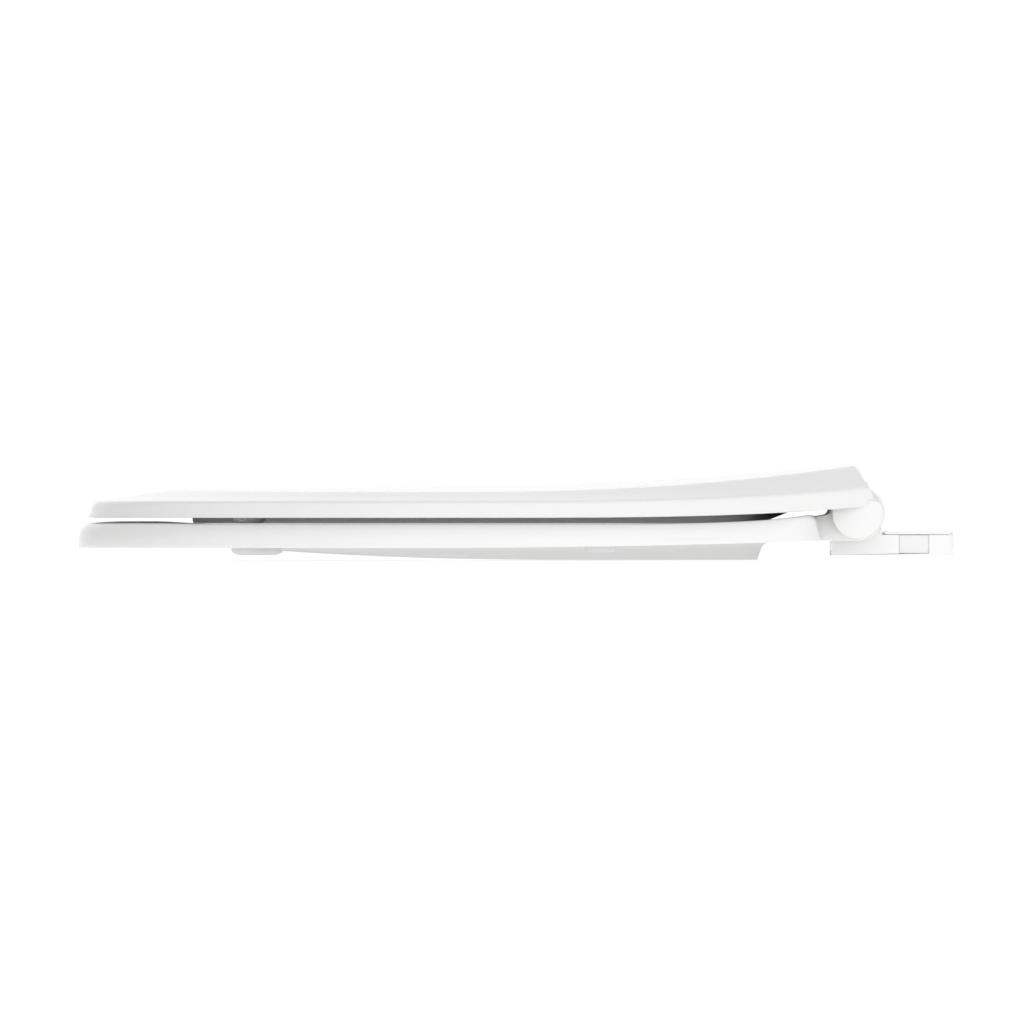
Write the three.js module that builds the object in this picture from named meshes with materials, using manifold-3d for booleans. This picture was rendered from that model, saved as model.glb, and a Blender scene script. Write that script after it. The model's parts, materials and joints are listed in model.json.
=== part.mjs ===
// Slim electric bidet seat: a seat ring and lid on two quick-release hinges, with a low spray unit
// between the hinges. Millimetres. X runs across the seat, -Y points to its front and +Z is up.
// The origin is midway between the two fixing bolts, on the plane of the bowl's rim.
import * as THREE from 'three';
import { mergeVertices } from 'three/addons/utils/BufferGeometryUtils.js';
import Module from 'manifold-3d';

const wasm = await Module();
wasm.setup();

// ---------------------------------------------------------------- driving dimensions
const GAP = 0.3;                  // clearance between separate pieces
const RUNNING_GAP = 0.5;          // clearance between pieces that turn or slide
const BOLT_SPACING = 140;         // between the two fixing bolts
const AXIS_Y = -32.8;             // hinge axis, behind the seat ring
const AXIS_Z = 23.5;

const SEAT = { front: -469, widest: -230, halfWidth: 182.5, rearReach: 295, rear: -53, corner: 14 };
const OPENING = { front: -407, widest: -255, halfWidth: 105, rearReach: 205, rear: -88.5, corner: 30 };
const LID = { front: -463.4, widest: -230, halfWidth: 177.5, rearReach: 295, rear: 0, corner: 0.5 };

const SEAT_WALL = 3;
const SEAT_EDGE = { across: 6.7, down: 9 };      // rounding of the outer top edge
const SEAT_REAR_EDGE = { share: 0.4, from: -85, to: -62 };   // that rounding tightens towards the rear corners
const SEAT_INNER_EDGE = 5;                       // rounding of the opening's top edge
const SEAT_FRONT_CROWN = 1.5;
const SEAT_CROWN_END = 388;                      // the crown fades out this far in front of the bolts
const SEAT_DISH = 1.6;                           // fall from the outer edge to the opening
const BASE_PLATE = 2.2;
const ARM_SIDE = [                               // side outline of the arm, in Y and Z, above its flat bottom
  [AXIS_Y, 26], [-47.6, 26], [-49.4, 23.9], [-51.6, 22.8], [-55.6, 22.3],
];
const FOIL = { thick: 0.6, outerInset: 14, innerInset: 12 };
const SENSOR = { from: [-148, -188], to: [-134, -172], thick: 3 };
const SKIRT_WALL = 2.4;
const SKIRT_LOW = -2.6;                          // level along the rear, rising away towards the front
const SKIRT_RISE = 7;
const SKIRT_FRONT = -381;
const SKIRT_FULL = -176;
const NOZZLE_NOTCH = { halfWidth: 12, front: -100, top: 7.8 };

const LID_WALL = 2.8;
const LID_DRAFT = 2.4;
const LID_BORDER = { side: 28, front: 52 };      // width of the sloping border
const LINER = 2;
const PLATEAU_BOTTOM = 17.7;
const PLATEAU_MARGIN = 7;                        // from the plateau to the seat opening
const PLATEAU_TAIL = { low: -93, middle: -84, high: -68.3 };  // the rear end slopes up along these
const LINER_REAR = -52;
const LID_REAR_FACE = [[-20, 27], [-22.4, 31], [-31.6, 48.2], [-33.4, 60]];   // Y and Z, going up
const EAR_WEB = [[-46, 24], [-46, 42], [-28.4, 42], [-22.6, 31.4], [-18.7, 24]];

const POST = { radius: 14, inner: 50, outer: 87.5 };
const BARREL = { radius: 15.4, inner: 88, outer: 117.5 };
const EAR = { radius: 14.2, inner: 118, outer: 128 };
const HINGE_CLEARANCE = 18;                      // radius kept free inside the lid
const PIN = { radius: 4, inner: 62, outer: 124.5 };
const BUSH_RADIUS = 6;
const DAMPER = { radius: 8.2, inner: 50.8, outer: 83 };

const FOOT = { front: -46.8, rear: 21.3, top: 11.4, corner: 3 };
const COVER = { front: -17.4, rear: 20.7, low: 11.7, high: 13.6 };
const POCKET = { front: -9.2, rear: 7.6, low: 1, depth: 7.8 };
const BUTTON_THICK = 4.1;
const WELL = { radius: 8.5, floor: 4 };
const BOLT_HOLE_RADIUS = 6;
const DISC = { top: 7.5, slotRadius: 3.4, slotTravel: 2.5 };
const PAD = { thick: 1.2, inset: 1.5, holeRadius: 7 };
const BUTTON_SPRING = { radius: 2.1, wire: 0.35, turns: 3, socket: 3.1 };

const UNIT = { halfWidth: 49.5, wall: 1.8, top: 12.6, plate: 2 };
const NOZZLE = { z: 4.3, sleeve: 3, tube: 2, front: -46.3, tipLength: 6, rear: 14 };
const GUIDE = { halfWidth: 5.5, top: 8.6, rear: 17 };
const NOZZLE_SPRING = { radius: 1.7, wire: 0.4, turns: 7, front: -36, rear: 10 };
const SADDLES = { xs: [-38, -14, 14, 38], thick: 3, halfLength: 8, top: 18 };
const HEATER = { radius: 8.5, from: -45, to: 4, collarRadius: 9.6, collarAt: -26, spigotRadius: 2.5, spigotEnd: 8 };
const VALVE = { half: 6, from: 10, to: 16, solenoidRadius: 8.5, solenoidEnd: 41, coreRadius: 3, coreEnd: 44 };
const BOARD = { from: [-44, -15], to: [-9, 12.5], bottom: 3.2, top: 4.8 };
const BOARD_CHIPS = [[-40, -10, 6, 3.5], [-30, -9, 9, 1.4], [-17, -9, 8, 2.6]];   // x, y, width, height
const SWITCH = { half: 3, top: 7.4 };
const POWER_INLET = { from: [-34, 3.5], to: [-22, 10.5], front: 13.2, wall: 1, pins: [-32, -24] };
const HOSE = { radius: 1.5, path: [[12, -9, 7], [15, -2, 7.2], [13, 8, 6.6], [9, 14.5, 5.4], [6.4, 15.2, 4.6]] };
const WATER_INLET = { x: 28, z: 6.6, radius: 4 };
const PUSH_BUTTON = { radius: 5, y: 3, top: 13.5, xs: { power_button: -36, wash_button: -20 } };

const BUMPERS = {
  seat_bumper_front: { x: 118, y: -368.5, length: 28, width: 13, low: 0, high: 4.1 },
  seat_bumper_rear: { x: 150, y: -176.4, length: 18, width: 12, low: 1.7, high: 4.8 },
  lid_bumper: { x: 118, y: -372.4, length: 18, width: 10, low: 17.9, high: 21.4 },
};

const WHITE = '#f4f4f2';
const WARM_WHITE = '#ededea';
const GREY = '#c9cbcc';

// ---------------------------------------------------------------- heights along the seat
// Every height runs level from the front and rises towards the hinge.
function rising(level, rise, start, span, power) {
  return (y) => level + rise * Math.pow(Math.max(0, y - start) / span, power);
}

const seatTop = rising(17.5, 4.8, -200, 144, 3.4);
const seatBottom = rising(4.1, 3.9, -300, 244, 2.2);
const lidBottom = rising(20.9, 5.4, -260, 221, 3.5);
const lidWallTop = rising(30.1, 6.7, -260, 221, 3);
const lidBorderTop = rising(35.4, 14, -260, 221, 2.3);
const lidCrownRise = rising(0, 9.4, -240, 201, 2);

function lidCrown(y) {
  return 38.8 + 0.0119 * (y + 249) + lidCrownRise(y);
}

function skirtBottom(y) {
  const along = THREE.MathUtils.clamp((SKIRT_FULL - y) / (SKIRT_FULL - SKIRT_FRONT), 0, 1);
  return SKIRT_LOW + SKIRT_RISE * Math.pow(along, 2.5);
}

// ---------------------------------------------------------------- solids
function toSolid(geometry) {
  const bare = geometry.clone();
  bare.deleteAttribute('normal');
  bare.deleteAttribute('uv');
  const merged = mergeVertices(bare, 1e-4);
  const index = [];
  for (let i = 0; i < merged.index.count; i += 3) {
    const [a, b, c] = [0, 1, 2].map((k) => merged.index.getX(i + k));
    if (a !== b && b !== c && c !== a) index.push(a, b, c);
  }
  const vertProperties = new Float32Array(merged.attributes.position.array);
  return new wasm.Manifold(new wasm.Mesh({ numProp: 3, vertProperties, triVerts: new Uint32Array(index) }));
}

function toGeometry(solid) {
  const mesh = solid.getMesh();
  const geometry = new THREE.BufferGeometry();
  geometry.setAttribute('position', new THREE.BufferAttribute(new Float32Array(mesh.vertProperties), 3));
  geometry.setIndex(new THREE.BufferAttribute(new Uint32Array(mesh.triVerts), 1));
  geometry.computeVertexNormals();
  return geometry;
}

function box(low, high) {
  const size = high.map((value, k) => value - low[k]);
  const geometry = new THREE.BoxGeometry(...size);
  geometry.translate(...low.map((value, k) => value + size[k] / 2));
  return toSolid(geometry);
}

function rod(axis, radius, from, to, centre, sides = 32) {
  const geometry = new THREE.CylinderGeometry(radius, radius, to - from, sides);
  const middle = (from + to) / 2;
  if (axis === 'x') geometry.rotateZ(Math.PI / 2).translate(middle, centre[0], centre[1]);
  if (axis === 'y') geometry.translate(centre[0], middle, centre[1]);
  if (axis === 'z') geometry.rotateX(Math.PI / 2).translate(centre[0], centre[1], middle);
  return toSolid(geometry);
}

function pairs(list) {
  return list.map(([first, second]) => new THREE.Vector2(first, second));
}

// A side outline, drawn in Y and Z, carried across from one X to another.
function across(points, from, to) {
  const geometry = new THREE.ExtrudeGeometry(new THREE.Shape(points), { depth: to - from, bevelEnabled: false });
  const turn = new THREE.Matrix4().makeBasis(
    new THREE.Vector3(0, 1, 0), new THREE.Vector3(0, 0, 1), new THREE.Vector3(1, 0, 0));
  geometry.applyMatrix4(turn).translate(from, 0, 0);
  return toSolid(geometry);
}

// A plan outline, drawn in X and Y, carried up from one Z to another.
function upright(points, from, to) {
  const geometry = new THREE.ExtrudeGeometry(new THREE.Shape(points), { depth: to - from, bevelEnabled: false });
  geometry.translate(0, 0, from);
  return toSolid(geometry);
}

// Everything between two heights that vary along Y, over the whole width of the object.
function layer(lower, upper, from, to, steps = 20) {
  const ys = Array.from({ length: steps + 1 }, (_, i) => from + (to - from) * i / steps);
  const under = ys.map((y) => new THREE.Vector2(y, lower(y)));
  const over = ys.map((y) => new THREE.Vector2(y, upper(y))).reverse();
  return across([...under, ...over], -200, 200);
}

// A closed skin over rows of points. Rows join to their neighbours, and the last row to the first.
function skin(rows, rowsClose) {
  const count = rows[0].length;
  const index = [];
  for (let i = 0; i < rows.length; i++) {
    const next = (i + 1) % rows.length;
    for (let j = 0; j < (rowsClose ? count : count - 1); j++) {
      const k = (j + 1) % count;
      const [a, b, c, d] = [i * count + j, next * count + j, next * count + k, i * count + k];
      index.push(a, b, c, a, c, d);
    }
  }
  const geometry = new THREE.BufferGeometry();
  const flat = rows.flat().flatMap((point) => [point.x, point.y, point.z]);
  geometry.setAttribute('position', new THREE.Float32BufferAttribute(flat, 3));
  geometry.setIndex(index);
  return toSolid(geometry);
}

function joined(...solids) {
  return solids.reduce((sum, next) => sum.add(next));
}

// ---------------------------------------------------------------- plan outlines
// Half of an egg outline, from the nose to the middle of the rear edge: an ellipse to the widest
// place, a longer ellipse behind it, and a rounded rear corner.
function halfOutline(egg, inset, steps) {
  const width = egg.halfWidth - inset;
  const reach = egg.widest - egg.front - inset;
  const rearReach = egg.rearReach - inset;
  const rear = egg.rear - inset;
  const points = [];
  for (let i = 0; i < steps; i++) {
    const angle = -Math.PI / 2 + (Math.PI / 2) * i / steps;
    points.push(new THREE.Vector2(width * Math.cos(angle), egg.widest + reach * Math.sin(angle)));
  }
  const last = Math.asin(Math.min(1, (rear - egg.corner - egg.widest) / rearReach));
  for (let i = 0; i <= steps; i++) {
    const angle = last * i / steps;
    points.push(new THREE.Vector2(width * Math.cos(angle), egg.widest + rearReach * Math.sin(angle)));
  }
  if (egg.corner > 0) {
    const start = points[points.length - 1];
    const turn = new THREE.QuadraticBezierCurve(
      start, new THREE.Vector2(start.x - egg.corner / 3, rear), new THREE.Vector2(start.x - egg.corner * 1.3, rear));
    points.push(...turn.getPoints(4).slice(1));
    for (let i = 1; i < 5; i++) points.push(new THREE.Vector2(points.at(-1).x * (1 - i / 5), rear));
    points.push(new THREE.Vector2(0, rear));
  }
  return points;
}

function outline(egg, inset = 0, steps = 11) {
  const half = halfOutline(egg, inset, steps);
  half[0].x = 0;
  half.at(-1).x = 0;
  const mirrored = half.slice(1, -1).reverse().map((point) => new THREE.Vector2(-point.x, point.y));
  return [...half, ...mirrored];
}

// Where a ray from the middle of the opening, towards a point, crosses an outline.
function crossing(points, towards) {
  const from = new THREE.Vector2(0, OPENING.widest);
  const ray = towards.clone().sub(from);
  for (let i = 0; i < points.length; i++) {
    const a = points[i].clone().sub(from);
    const edge = points[(i + 1) % points.length].clone().sub(points[i]);
    const turn = ray.cross(edge);
    const reach = a.cross(edge) / turn;
    const along = a.cross(ray) / turn;
    if (reach > 0 && along >= -1e-9 && along <= 1 + 1e-9) return from.clone().addScaledVector(ray, reach);
  }
  throw new Error('an outline doesn\'t go round the opening');
}

// ---------------------------------------------------------------- seat
function seatSurface(y, share) {
  const nose = THREE.MathUtils.smoothstep(-y, SEAT_CROWN_END, SEAT_CROWN_END + 40);
  const crown = SEAT_FRONT_CROWN * Math.sin(Math.PI * Math.min(1, share * 1.15)) * nose;
  return seatTop(y) + crown - SEAT_DISH * share * share * (1 - nose);
}

// One cut through the ring: up the outer wall, over the top and down into the opening.
function seatSection(outer, inner) {
  const width = outer.distanceTo(inner);
  const place = (distance, height) => {
    const at = outer.clone().lerp(inner, distance / width);
    return new THREE.Vector3(at.x, at.y, height(at.y, distance / width));
  };
  const { share: least, from, to } = SEAT_REAR_EDGE;
  const size = 1 - (1 - least) * THREE.MathUtils.smoothstep(outer.y, from, to);
  const points = [place(0, (y) => seatBottom(y))];
  for (const angle of [0, 25, 50, 70, 90].map(THREE.MathUtils.degToRad)) {
    const drop = SEAT_EDGE.down * size * (1 - Math.sin(angle));
    const along = SEAT_EDGE.across * size * (1 - Math.cos(angle));
    points.push(place(along, (y, share) => seatSurface(y, share) - drop));
  }
  for (const share of [0.3, 0.55, 0.78]) points.push(place(share * width, seatSurface));
  for (const angle of [90, 45, 0].map(THREE.MathUtils.degToRad)) {
    const distance = width - SEAT_INNER_EDGE * (1 - Math.cos(angle));
    const drop = SEAT_INNER_EDGE * (1 - Math.sin(angle));
    points.push(place(distance, (y, share) => seatSurface(y, share) - drop));
  }
  points.push(place(width, (y) => seatBottom(y) + BASE_PLATE + 2 * GAP));
  points.push(place(width - SEAT_WALL, (y) => seatBottom(y) + BASE_PLATE + 2 * GAP));
  points.push(place(SEAT_WALL, (y) => seatBottom(y)));
  return points;
}

function ringSolid() {
  const outer = outline(SEAT);
  const inner = outline(OPENING);
  return skin(outer.map((point) => seatSection(point, crossing(inner, point))), true);
}

// The space inside the ring shell, open at the bottom.
function ringHollow() {
  const roof = (y) => seatTop(y) - SEAT_DISH - SEAT_WALL;
  const space = layer(() => -10, roof, -480, -40);
  return space
    .intersect(upright(outline(SEAT, SEAT_WALL), -20, 60))
    .subtract(upright(outline(OPENING, -SEAT_WALL), -30, 70));
}

// The arm that carries the ring back to its hinge barrel.
function seatArm() {
  const under = AXIS_Z - BARREL.radius;
  const front = ARM_SIDE.at(-1)[0];
  return across(pairs([[front, under], [AXIS_Y, under], ...ARM_SIDE]), BARREL.inner, BARREL.outer);
}

function seatTopPiece() {
  const arm = seatArm();
  const barrel = rod('x', BARREL.radius, BARREL.inner, BARREL.outer, [AXIS_Y, AXIS_Z], 36);
  const bore = rod('x', BUSH_RADIUS + GAP, BARREL.inner - 1, BARREL.outer + 1, [AXIS_Y, AXIS_Z], 24);
  const side = arm.add(barrel).subtract(bore);
  return joined(ringSolid().subtract(ringHollow()), side, side.mirror([1, 0, 0]));
}

function seatBasePiece() {
  const reach = SEAT_WALL + GAP;
  const plate = layer((y) => seatBottom(y) + 0.3, (y) => seatBottom(y) + BASE_PLATE, -480, -40)
    .intersect(upright(outline(SEAT, reach), -20, 60));
  const skirt = layer(skirtBottom, (y) => seatBottom(y) + 1, -480, -40, 28)
    .intersect(upright(outline(OPENING, -SKIRT_WALL), -30, 70));
  const { halfWidth, front, top } = NOZZLE_NOTCH;
  const nozzleNotch = box([-halfWidth, front, -10], [halfWidth, -40, top]);
  return plate.add(skirt).subtract(upright(outline(OPENING), -40, 80)).subtract(nozzleNotch);
}

// The heating foil lies just under the ring's top surface.
function seatHeaterPiece() {
  const roof = (y) => seatTop(y) - SEAT_DISH - SEAT_WALL - GAP;
  return layer((y) => roof(y) - FOIL.thick, roof, -480, -40)
    .intersect(upright(outline(SEAT, FOIL.outerInset), -20, 60))
    .subtract(upright(outline(OPENING, -FOIL.innerInset), -30, 70));
}

function seatSensorPiece() {
  const roof = seatTop(SENSOR.from[1]) - SEAT_DISH - SEAT_WALL - FOIL.thick - 2 * GAP;
  return box([...SENSOR.from, roof - SENSOR.thick], [...SENSOR.to, roof]);
}

// A rubber stop: a long rounded foot that narrows downwards.
function bumper({ x, y, length, width, low, high }) {
  const ring = (share, height) => Array.from({ length: 24 }, (_, i) => {
    const angle = 2 * Math.PI * i / 24;
    const long = Math.sign(Math.sin(angle)) * Math.pow(Math.abs(Math.sin(angle)), 0.6);
    return new THREE.Vector3(x + width / 2 * share * Math.cos(angle), y + length / 2 * share * long, height);
  });
  const shoulder = high - (high - low) * 0.35;
  return toSolid(cappedStack([ring(1, high), ring(1, shoulder), ring(0.84, low + 0.5), ring(0.72, low)]));
}

// Rings of points stacked downwards, closed by a fan at the top and at the bottom.
function cappedStack(rings) {
  const count = rings[0].length;
  const points = rings.flat();
  const middle = (ring) => ring.reduce((sum, p) => sum.add(p), new THREE.Vector3()).divideScalar(count);
  const top = points.push(middle(rings[0])) - 1;
  const bottom = points.push(middle(rings.at(-1))) - 1;
  const index = [];
  for (let j = 0; j < count; j++) {
    const k = (j + 1) % count;
    index.push(top, j, k);
    for (let i = 0; i + 1 < rings.length; i++) {
      const [a, b, c, d] = [i * count + j, (i + 1) * count + j, (i + 1) * count + k, i * count + k];
      index.push(a, b, c, a, c, d);
    }
    const lowest = (rings.length - 1) * count;
    index.push(bottom, lowest + k, lowest + j);
  }
  const geometry = new THREE.BufferGeometry();
  geometry.setAttribute('position', new THREE.Float32BufferAttribute(points.flatMap((p) => [p.x, p.y, p.z]), 3));
  geometry.setIndex(index);
  return geometry;
}

// ---------------------------------------------------------------- lid
function borderWidth(y) {
  return LID_BORDER.side + (LID_BORDER.front - LID_BORDER.side) * Math.pow(Math.max(0, -250 - y) / 213, 2);
}

// The lid as a solid: rows run out from the spine underneath, up the wall and over the border.
function lidSolid(inset, thinner) {
  const edge = outline(LID, inset, 12);
  const rows = edge.map((point) => {
    const spine = new THREE.Vector2(0, -240 + 0.5 * (point.y + 240));
    const width = point.distanceTo(spine);
    const place = (distance, height) => {
      const at = point.clone().lerp(spine, Math.min(1, distance / width));
      return new THREE.Vector3(at.x, at.y, height(at.y));
    };
    const border = borderWidth(point.y) - inset;
    const crown = (share) => place(border + (width - border) * share, (y) => {
      const lift = 1 - (1 - share) * (1 - share);
      return lidBorderTop(y) + (lidCrown(y) - lidBorderTop(y)) * lift - thinner;
    });
    const slope = (distance) => place(distance, (y) => {
      const share = (distance - LID_DRAFT) / (border - LID_DRAFT);
      return lidWallTop(y) + (lidBorderTop(y) - lidWallTop(y)) * share - thinner;
    });
    const low = (y) => lidBottom(y) - (thinner ? 5 : 0);
    return [
      place(width, low), place(0, low), place(LID_DRAFT, (y) => lidWallTop(y) - 0.9 - thinner),
      slope(LID_DRAFT + 2.4), slope(border * 0.5), crown(0), crown(0.15), crown(0.4), crown(0.7),
      place(width, (y) => lidCrown(y) - thinner),
    ];
  });
  return skin(rows, false);
}

// What the lid keeps of its solid: everything ahead of its slanting rear face.
function lidTrim(inset) {
  const face = [[LID_REAR_FACE[0][0], -20], ...LID_REAR_FACE].map(([y, z]) => [y - inset, z]);
  return across(pairs([[-500, -20], ...face, [-500, 60]]), -200, 200);
}

function ear(outer) {
  const disc = rod('x', EAR.radius, EAR.inner, EAR.outer, [AXIS_Y, AXIS_Z], 40);
  const web = across(pairs(EAR_WEB), EAR.inner, EAR.outer);
  const within = outer.add(box([-200, -100, 0], [200, 0, 30]));
  const bore = rod('x', PIN.radius + GAP, EAR.inner - 1, PIN.outer + GAP, [AXIS_Y, AXIS_Z], 24);
  return disc.add(web.intersect(within)).subtract(bore);
}

function lidShellPiece() {
  const outer = lidSolid(0, 0).intersect(lidTrim(0));
  const hollow = lidSolid(LID_WALL, LID_WALL).intersect(lidTrim(LID_WALL));
  const turning = rod('x', HINGE_CLEARANCE, -EAR.inner + RUNNING_GAP / 2, EAR.inner - RUNNING_GAP / 2,
    [AXIS_Y, AXIS_Z], 48);
  const side = ear(outer);
  return joined(outer.subtract(hollow).subtract(turning), side, side.mirror([1, 0, 0]));
}

function lidLinerPiece() {
  const reach = LID_WALL + 0.8 * LID_DRAFT + GAP;
  const low = (y) => lidBottom(y) + 0.8;
  const plate = layer(low, (y) => low(y) + LINER, -480, LINER_REAR)
    .intersect(upright(outline(LID, reach), -20, 80));
  const tail = [
    [-420, PLATEAU_BOTTOM], [PLATEAU_TAIL.low, PLATEAU_BOTTOM], [PLATEAU_TAIL.middle, PLATEAU_BOTTOM + 1.25],
    [PLATEAU_TAIL.high, low(PLATEAU_TAIL.high)], [PLATEAU_TAIL.high, 40], [-420, 40],
  ];
  const plan = { ...OPENING, front: -412.5, rear: PLATEAU_TAIL.high + PLATEAU_MARGIN, corner: 45 };
  const raised = (lift) => across(pairs(tail.map(([y, z]) => [y - lift, z + lift])), -200, 200)
    .intersect(upright(outline(plan, PLATEAU_MARGIN + lift), -20, 80));
  const plateau = raised(0).intersect(layer(() => -20, (y) => low(y) + LINER, -480, LINER_REAR));
  return plate.add(plateau).subtract(raised(LINER));
}

// ---------------------------------------------------------------- hinges
function circlePoints(radius, from, to, steps, centre = [AXIS_Y, AXIS_Z]) {
  return Array.from({ length: steps + 1 }, (_, i) => {
    const angle = from + (to - from) * i / steps;
    return new THREE.Vector2(centre[0] + radius * Math.cos(angle), centre[1] + radius * Math.sin(angle));
  });
}

// Side outline of post and foot: up the front, over the round head, down and back along the foot.
function bracketOutline(footTop) {
  return [
    new THREE.Vector2(FOOT.front, 0),
    ...circlePoints(POST.radius, Math.PI, 0, 16),
    new THREE.Vector2(AXIS_Y + POST.radius, footTop),
    new THREE.Vector2(FOOT.rear - 1.5, footTop),
    new THREE.Vector2(FOOT.rear, footTop - 1.5),
    new THREE.Vector2(FOOT.rear, 0),
  ];
}

// Plan of a foot or its cover, with the outer rear corner rounded.
function footPlan(inner, outer, rear, corner) {
  const round = circlePoints(corner, 0, Math.PI / 2, 6, [outer - corner, rear - corner]);
  return [...pairs([[inner, FOOT.front], [outer, FOOT.front]]), ...round, new THREE.Vector2(inner, rear)];
}

function bracketPiece() {
  const bolt = [BOLT_SPACING / 2, 0];
  const body = across(bracketOutline(FOOT.top), POST.inner, POST.outer)
    .intersect(upright(footPlan(POST.inner, POST.outer, FOOT.rear, FOOT.corner), -1, 60));
  const pocket = box([POST.outer - POCKET.depth, POCKET.front, POCKET.low], [POST.outer + 1, POCKET.rear, 20]);
  const damperBore = rod('x', DAMPER.radius + GAP, POST.inner - 1, DAMPER.outer + GAP, [AXIS_Y, AXIS_Z]);
  const pinBore = rod('x', PIN.radius + GAP, POST.inner, POST.outer + 1, [AXIS_Y, AXIS_Z], 24);
  const well = rod('z', WELL.radius, WELL.floor, 20, bolt);
  const boltHole = rod('z', BOLT_HOLE_RADIUS, -1, 20, bolt, 24);
  const padRecess = box([POST.inner + PAD.inset, FOOT.front + PAD.inset, -1],
    [POST.outer - PAD.inset, FOOT.rear - PAD.inset, PAD.thick]);
  return [pocket, damperBore, pinBore, well, boltHole, padRecess].reduce((left, cut) => left.subtract(cut), body);
}

function deckPadPiece() {
  const reach = PAD.inset + GAP;
  return box([POST.inner + reach, FOOT.front + reach, 0],
    [POST.outer - reach, FOOT.rear - reach, PAD.thick - GAP])
    .subtract(rod('z', PAD.holeRadius, -1, 5, [BOLT_SPACING / 2, 0], 24));
}

// A slotted clamp washer in the foot's well.
function adjusterDiscPiece() {
  const x = BOLT_SPACING / 2;
  const { slotRadius, slotTravel } = DISC;
  const disc = rod('z', WELL.radius - GAP, WELL.floor + GAP, DISC.top, [x, 0]);
  const ends = [-slotTravel, slotTravel].map((y) => rod('z', slotRadius, 0, 20, [x, y], 20));
  const slot = joined(...ends, box([x - slotRadius, -slotTravel, 0], [x + slotRadius, slotTravel, 20]));
  return disc.subtract(slot);
}

// A thin flip plate with a tapered front tip, rounded about its hinge line at the rear.
function boltCoverPiece() {
  const half = (COVER.high - COVER.low) / 2;
  const hinge = [COVER.rear - half, COVER.low + half];
  const points = [
    new THREE.Vector2(COVER.front + 1, COVER.low),
    ...circlePoints(half, -Math.PI / 2, Math.PI / 2, 6, hinge),
    new THREE.Vector2(COVER.front + 2.4, COVER.high),
    new THREE.Vector2(COVER.front + 0.5, COVER.high - 0.5),
    new THREE.Vector2(COVER.front, COVER.low + 0.7),
  ];
  const [inner, outer] = [POST.inner + 0.5, POST.outer - 0.5];
  return across(points, inner, outer)
    .intersect(upright(footPlan(inner, outer, COVER.rear, FOOT.corner), 0, 60));
}

function releaseButtonPiece() {
  const outer = POST.outer - 0.8;
  const [y, z] = [(POCKET.front + POCKET.rear) / 2, (POCKET.low + FOOT.top) / 2];
  return box([outer - BUTTON_THICK, POCKET.front + GAP, POCKET.low + GAP], [outer, POCKET.rear - GAP, FOOT.top - GAP])
    .subtract(rod('x', BUTTON_SPRING.socket, outer - BUTTON_THICK - 1, outer - 2, [y, z], 20));
}

// A coil spring along X, from one end to the other.
function coil({ radius, wire, turns }, from, to, centre, axis = 'x') {
  const points = [];
  const steps = turns * 8;
  for (let i = 0; i <= steps; i++) {
    const angle = 2 * Math.PI * turns * i / steps;
    const along = from + wire + (to - from - 2 * wire) * i / steps;
    const [u, v] = [centre[0] + radius * Math.cos(angle), centre[1] + radius * Math.sin(angle)];
    points.push(axis === 'x' ? new THREE.Vector3(along, u, v) : new THREE.Vector3(u, along, v));
  }
  const section = new THREE.Shape();
  section.absarc(0, 0, wire, 0, 2 * Math.PI);
  const path = new THREE.CatmullRomCurve3(points);
  return toSolid(new THREE.ExtrudeGeometry(section, { steps, extrudePath: path, bevelEnabled: false, curveSegments: 3 }));
}

function releaseSpringPiece() {
  const [y, z] = [(POCKET.front + POCKET.rear) / 2, (POCKET.low + FOOT.top) / 2];
  return coil(BUTTON_SPRING, POST.outer - POCKET.depth + GAP, POST.outer - 2.8 - GAP, [y, z]);
}

function damperPiece() {
  const body = rod('x', DAMPER.radius, DAMPER.inner, DAMPER.outer, [AXIS_Y, AXIS_Z]);
  const socket = rod('x', PIN.radius + GAP, PIN.inner - GAP, DAMPER.outer + 1, [AXIS_Y, AXIS_Z], 24);
  return body.subtract(socket);
}

function bushPiece() {
  return rod('x', BUSH_RADIUS, BARREL.inner, BARREL.outer, [AXIS_Y, AXIS_Z], 24)
    .subtract(rod('x', PIN.radius + GAP, BARREL.inner - 1, BARREL.outer + 1, [AXIS_Y, AXIS_Z], 24));
}

function pinPiece() {
  const flat = 3.2;
  const round = rod('x', PIN.radius, PIN.inner, PIN.outer, [AXIS_Y, AXIS_Z], 24);
  const cut = (sign) => box([0, AXIS_Y - 10, AXIS_Z + sign * flat - (sign < 0 ? 6 : 0)],
    [DAMPER.outer - 8, AXIS_Y + 10, AXIS_Z + sign * flat + (sign > 0 ? 6 : 0)]);
  return round.subtract(cut(1)).subtract(cut(-1));
}

// ---------------------------------------------------------------- spray unit
function unitOutline(wall) {
  const top = UNIT.top - wall;
  const radius = POST.radius - wall;
  return [
    new THREE.Vector2(FOOT.front + wall, UNIT.plate + GAP - (wall ? 5 : 0)),
    ...circlePoints(radius, Math.PI, 0, 18),
    new THREE.Vector2(AXIS_Y + radius, top),
    new THREE.Vector2(FOOT.rear - wall, top),
    new THREE.Vector2(FOOT.rear - wall, UNIT.plate + GAP - (wall ? 5 : 0)),
  ];
}

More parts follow.
